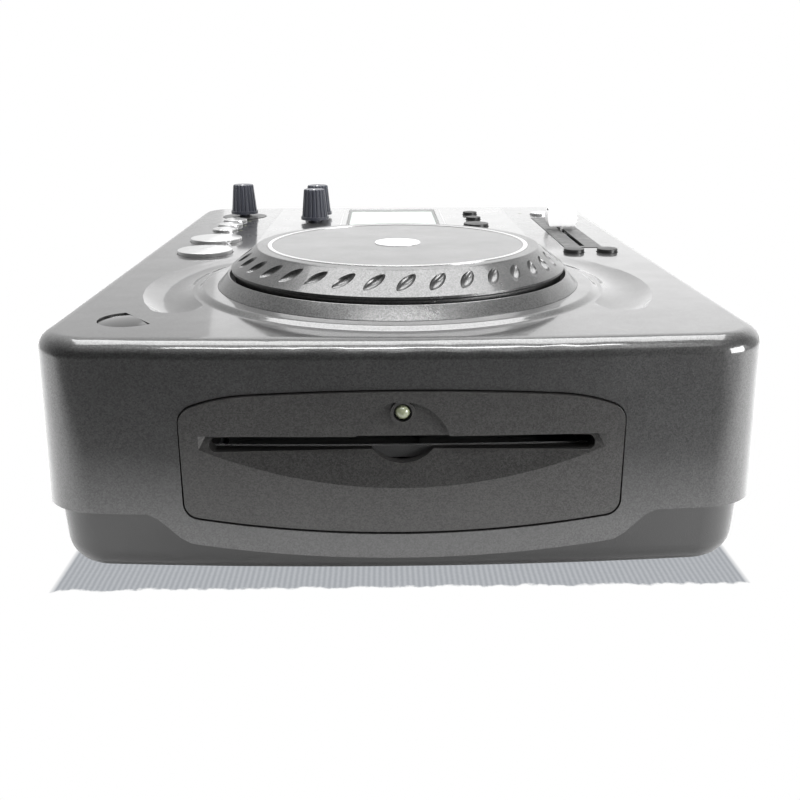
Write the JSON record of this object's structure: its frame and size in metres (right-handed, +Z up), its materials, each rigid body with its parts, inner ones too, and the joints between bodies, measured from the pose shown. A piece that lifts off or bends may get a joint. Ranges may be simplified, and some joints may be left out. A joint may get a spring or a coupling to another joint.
{
  "type": "tabletop disc player",
  "caption": "Tabletop disc player with a jog wheel, buttons, knobs and a slider on top, a disc slot in front and a loading mechanism inside.",
  "frame": {"origin": "centre of the object's bounding box in X and Y, on the surface it stands on", "axes": "+X to the right seen from the slot side, +Y from the slot to the sockets at the back, +Z up"},
  "size_m": [0.244, 0.3432, 0.109],
  "materials": {
    "case_paint": "dark gunmetal paint with fine metallic flake, glossy",
    "tray_plastic": "satin dark grey moulding",
    "bezel_paint": "satin dark grey metallic paint",
    "felt": "black dust felt",
    "black_plastic": "fine-grained black",
    "gloss_black": "glossy black",
    "rubber": "matt black rubber",
    "screw_steel": "zinc plated",
    "plate_paint": "satin grey metallic",
    "window_clear": "pale display window",
    "display_green": "display glass and its frame",
    "lamp_lens": "tinted translucent lens",
    "wheel_metal": "satin silver-grey metallic paint",
    "disc_face": "grey touch surface",
    "bright_ring": "bright ring",
    "pale_cap": "pale plain disc",
    "steel": "ground steel",
    "collar_paint": "satin grey metallic",
    "bronze": "sintered bronze",
    "silver_button": "silver painted",
    "dark_button": "dark grey button",
    "knob_black": "soft-touch black",
    "board_green": "green solder mask",
    "pot_metal": "stamped metal",
    "switch_black": "black",
    "cap_white": "white slider cap",
    "core_steel": "varnished laminations",
    "socket_metal": "nickel plated",
    "rocker_red": "red rocker",
    "sheet_steel": "zinc plated sheet",
    "motor_steel": "drawn steel can",
    "white_plastic": "natural acetal"
  },
  "bodies": {
    "case": {"top_shell": "case_paint", "base_tray": "tray_plastic", "slot_bezel": "bezel_paint", "slot_felt": "felt", "rear_panel": "black_plastic", "feet": "rubber", "case_screws": "screw_steel", "display_plate": "plate_paint", "display_window": "window_clear", "display_module": "display_green", "top_inlays": "black_plastic", "indicator_lamps": "lamp_lens", "jog_collar": "collar_paint", "jog_bearing": "bronze", "encoder_sensor": "switch_black", "knob_pots": "pot_metal", "button_switches": "switch_black", "fader_body": "pot_metal", "top_board": "board_green", "main_board": "board_green", "power_transformer": "core_steel", "power_inlet": "gloss_black", "output_jacks": "socket_metal", "loader_frame": "sheet_steel", "damper_bushes": "rubber", "loader_motor": "motor_steel"},
    "jog": {"jog_wheel": "wheel_metal", "jog_top_disc": "disc_face", "jog_trim_ring": "bright_ring", "jog_center_cap": "pale_cap", "jog_shaft": "steel", "encoder_disc": "switch_black"},
    "play_button": {"play_button": "silver_button"},
    "cue_button": {"cue_button": "silver_button"},
    "mode_button_1": {"mode_button_1": "silver_button"},
    "mode_button_2": {"mode_button_2": "silver_button"},
    "mode_button_3": {"mode_button_3": "silver_button"},
    "display_button_1": {"display_button_1": "dark_button"},
    "display_button_2": {"display_button_2": "dark_button"},
    "display_button_3": {"display_button_3": "dark_button"},
    "bend_button_1": {"bend_button_1": "dark_button"},
    "bend_button_2": {"bend_button_2": "dark_button"},
    "pitch_button": {"pitch_button": "silver_button"},
    "eject_button": {"eject_button": "gloss_black"},
    "knob_1": {"knob_1": "knob_black"},
    "knob_2": {"knob_2": "knob_black"},
    "knob_3": {"knob_3": "knob_black"},
    "fader_cap": {"fader_cap": "cap_white"},
    "power_rocker": {"power_rocker": "rocker_red"},
    "feed_roller": {"feed_roller": "rubber"},
    "loader_gear": {"loader_gear": "white_plastic"},
    "clamp_arm": {"clamp_arm": "sheet_steel"},
    "clamp_puck": {"clamp_puck": "white_plastic"},
    "traverse": {"traverse_plate": "sheet_steel", "spindle_motor": "motor_steel", "sled_rails": "steel", "sled_motor": "motor_steel"},
    "disc_hub": {"disc_hub": "switch_black"},
    "laser_sled": {"laser_sled": "black_plastic"},
    "lead_screw": {"lead_screw": "steel"}
  },
  "joints": [
    {"name": "jog_spin", "type": "hinge", "parent": "case", "child": "jog", "pos_m": [0, -0.0768, 0.09], "axis": [0, 0, 1], "continuous": true},
    {"name": "play_button_press", "type": "slide", "parent": "case", "child": "play_button", "axis": [0, 0, -1], "range_m": [0, 0.001], "stiffness_N_per_m": 600, "springref_m": -0.0008},
    {"name": "cue_button_press", "type": "slide", "parent": "case", "child": "cue_button", "axis": [0, 0, -1], "range_m": [0, 0.001], "stiffness_N_per_m": 600, "springref_m": -0.0008},
    {"name": "mode_button_1_press", "type": "slide", "parent": "case", "child": "mode_button_1", "axis": [0, 0, -1], "range_m": [0, 0.001], "stiffness_N_per_m": 450, "springref_m": -0.0008},
    {"name": "mode_button_2_press", "type": "slide", "parent": "case", "child": "mode_button_2", "axis": [0, 0, -1], "range_m": [0, 0.001], "stiffness_N_per_m": 450, "springref_m": -0.0008},
    {"name": "mode_button_3_press", "type": "slide", "parent": "case", "child": "mode_button_3", "axis": [0, 0, -1], "range_m": [0, 0.001], "stiffness_N_per_m": 450, "springref_m": -0.0008},
    {"name": "display_button_1_press", "type": "slide", "parent": "case", "child": "display_button_1", "axis": [0, 0, -1], "range_m": [0, 0.001], "stiffness_N_per_m": 450, "springref_m": -0.0008},
    {"name": "display_button_2_press", "type": "slide", "parent": "case", "child": "display_button_2", "axis": [0, 0, -1], "range_m": [0, 0.001], "stiffness_N_per_m": 450, "springref_m": -0.0008},
    {"name": "display_button_3_press", "type": "slide", "parent": "case", "child": "display_button_3", "axis": [0, 0, -1], "range_m": [0, 0.001], "stiffness_N_per_m": 450, "springref_m": -0.0008},
    {"name": "bend_button_1_press", "type": "slide", "parent": "case", "child": "bend_button_1", "axis": [0, 0, -1], "range_m": [0, 0.001], "stiffness_N_per_m": 450, "springref_m": -0.0008},
    {"name": "bend_button_2_press", "type": "slide", "parent": "case", "child": "bend_button_2", "axis": [0, 0, -1], "range_m": [0, 0.001], "stiffness_N_per_m": 450, "springref_m": -0.0008},
    {"name": "pitch_button_press", "type": "slide", "parent": "case", "child": "pitch_button", "axis": [0, 0, -1], "range_m": [0, 0.001], "stiffness_N_per_m": 450, "springref_m": -0.0008},
    {"name": "eject_button_press", "type": "slide", "parent": "case", "child": "eject_button", "axis": [0, 0, -1], "range_m": [0, 0.001], "stiffness_N_per_m": 450, "springref_m": -0.0008},
    {"name": "knob_1_turn", "type": "hinge", "parent": "case", "child": "knob_1", "pos_m": [-0.0894, 0.12578, 0.09], "axis": [0, 0, 1], "range_deg": [-150, 150]},
    {"name": "knob_2_turn", "type": "hinge", "parent": "case", "child": "knob_2", "pos_m": [-0.0449, 0.09778, 0.09], "axis": [0, 0, 1], "range_deg": [-150, 150]},
    {"name": "knob_3_turn", "type": "hinge", "parent": "case", "child": "knob_3", "pos_m": [-0.0444, 0.11978, 0.09], "axis": [0, 0, 1], "range_deg": [-150, 150]},
    {"name": "fader_slide", "type": "slide", "parent": "case", "child": "fader_cap", "axis": [0, 1, 0], "range_m": [-0.055, 0.038]},
    {"name": "power_rocker_tilt", "type": "hinge", "parent": "case", "child": "power_rocker", "pos_m": [-0.076, 0.16078, 0.05], "axis": [1, 0, 0], "range_deg": [0, 16]},
    {"name": "feed_roller_spin", "type": "hinge", "parent": "case", "child": "feed_roller", "pos_m": [0, -0.152, 0.0498], "axis": [1, 0, 0], "continuous": true},
    {"name": "loader_gear_spin", "type": "hinge", "parent": "case", "child": "loader_gear", "pos_m": [0.072, -0.152, 0.03525], "axis": [1, 0, 0], "continuous": true},
    {"name": "traverse_lift", "type": "hinge", "parent": "case", "child": "traverse", "pos_m": [0, -0.014, 0.0438], "axis": [-1, 0, 0], "range_deg": [0, 2.2]},
    {"name": "clamp_close", "type": "hinge", "parent": "case", "child": "clamp_arm", "pos_m": [0, -0.018, 0.0631], "axis": [1, 0, 0], "range_deg": [0, 2.2]},
    {"name": "clamp_puck_spin", "type": "hinge", "parent": "clamp_arm", "child": "clamp_puck", "pos_m": [0, -0.088, 0.0631], "axis": [0, 0, 1], "continuous": true},
    {"name": "disc_hub_spin", "type": "hinge", "parent": "traverse", "child": "disc_hub", "pos_m": [0, -0.088, 0.0424], "axis": [0, 0, 1], "continuous": true},
    {"name": "lead_screw_turn", "type": "hinge", "parent": "traverse", "child": "lead_screw", "pos_m": [0.031, -0.0735, 0.049], "axis": [0, 1, 0], "range_deg": [0, 3060]},
    {"name": "sled_slide", "type": "slide", "parent": "traverse", "child": "laser_sled", "axis": [0, 1, 0], "range_m": [0, 0.034]}
  ],
  "couplings": [
    {"joint": "loader_gear_spin", "follows": "feed_roller_spin", "ratio": -2},
    {"joint": "clamp_close", "follows": "traverse_lift", "ratio": 1},
    {"joint": "lead_screw_turn", "follows": "sled_slide", "rad_per_m": 1570.8}
  ]
}
